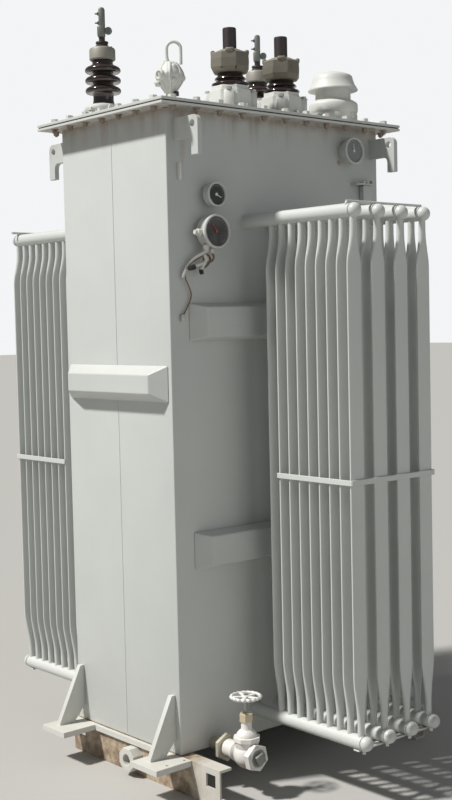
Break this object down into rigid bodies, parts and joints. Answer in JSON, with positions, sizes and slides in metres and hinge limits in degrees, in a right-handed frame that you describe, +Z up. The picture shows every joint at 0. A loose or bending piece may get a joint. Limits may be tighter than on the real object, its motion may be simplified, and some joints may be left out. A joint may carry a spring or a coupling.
{
  "type": "power transformer",
  "caption": "Tall oil-filled substation transformer on channel skids, with tube radiator banks, porcelain bushings, gauges, lifting lugs and a drain valve whose wheel turns.",
  "frame": {"origin": "on the ground under the tank's centre, midway between the skids", "axes": "+Z up, X along the tank's long side, -Y towards the front with the gauges and the drain valve"},
  "size_m": [1.32, 1.72, 2.7391],
  "materials": {
    "tank_paint": "weathered satin light grey paint with rust streaks under the flange",
    "radiator_paint": "satin light grey paint, lightly dusty",
    "base_paint": "light grey paint, dusty, with rust on the skid web",
    "white_castings": "pale grey-white paint on cast metal",
    "gauge_case": "painted cast case with a dark dial behind glass",
    "valve_paint": "grey-white paint over bronze, worn at the hexes",
    "gasket": "matt black",
    "porcelain": "dark brown glaze, glossy",
    "hv_terminal_metal": "dull grey casting and clamp",
    "lv_terminal_metal": "weathered dark bronze"
  },
  "bodies": {
    "root": {"cover_gasket": "gasket", "drain_valve_body": "valve_paint", "drain_valve_bonnet": "valve_paint", "gauge_lead": "gauge_case", "hv_flange_1": "white_castings", "hv_flange_2": "white_castings", "hv_porcelain_1": "porcelain", "hv_porcelain_2": "porcelain", "hv_terminal_1": "hv_terminal_metal", "hv_terminal_2": "hv_terminal_metal", "jacking_bracket_left": "base_paint", "jacking_bracket_right": "base_paint", "level_gauge": "gauge_case", "lifting_lug_back_left": "tank_paint", "lifting_lug_back_right": "tank_paint", "lifting_lug_front_left": "tank_paint", "lifting_lug_front_right": "tank_paint", "lv_base_1": "white_castings", "lv_base_2": "white_castings", "lv_porcelain_1": "porcelain", "lv_porcelain_2": "porcelain", "lv_terminal_1": "lv_terminal_metal", "lv_terminal_2": "lv_terminal_metal", "pipe_coupling": "base_paint", "radiator_back_1": "radiator_paint", "radiator_back_2": "radiator_paint", "radiator_back_3": "radiator_paint", "radiator_back_4": "radiator_paint", "radiator_back_5": "radiator_paint", "radiator_back_6": "radiator_paint", "radiator_back_7": "radiator_paint", "radiator_back_8": "radiator_paint", "radiator_front_1": "radiator_paint", "radiator_front_2": "radiator_paint", "radiator_front_3": "radiator_paint", "radiator_front_4": "radiator_paint", "relief_base": "white_castings", "relief_cap": "white_castings", "skid_left": "base_paint", "skid_right": "base_paint", "stiffener_back_lower": "tank_paint", "stiffener_back_upper": "tank_paint", "stiffener_front_lower": "tank_paint", "stiffener_front_upper": "tank_paint", "stiffener_left": "tank_paint", "stiffener_right": "tank_paint", "tank_cover": "tank_paint", "tank_flange": "tank_paint", "tank_floor": "tank_paint", "tank_shell": "tank_paint", "thermometer_lower": "gauge_case", "thermometer_upper": "gauge_case", "tie_bar_back": "radiator_paint", "tie_bar_front": "radiator_paint", "tie_rod_back": "radiator_paint", "tie_rod_front": "radiator_paint", "tie_strap_back": "radiator_paint", "tie_strap_front": "radiator_paint", "vent_fitting": "white_castings"},
    "handwheel": {"drain_valve_handwheel": "valve_paint"}
  },
  "joints": [
    {"name": "handwheel_turn", "type": "hinge", "parent": "root", "child": "handwheel", "pos_m": [-0.365, -0.477, 0.336], "axis": [0, 0, 1], "range_deg": [0, 2160]}
  ]
}
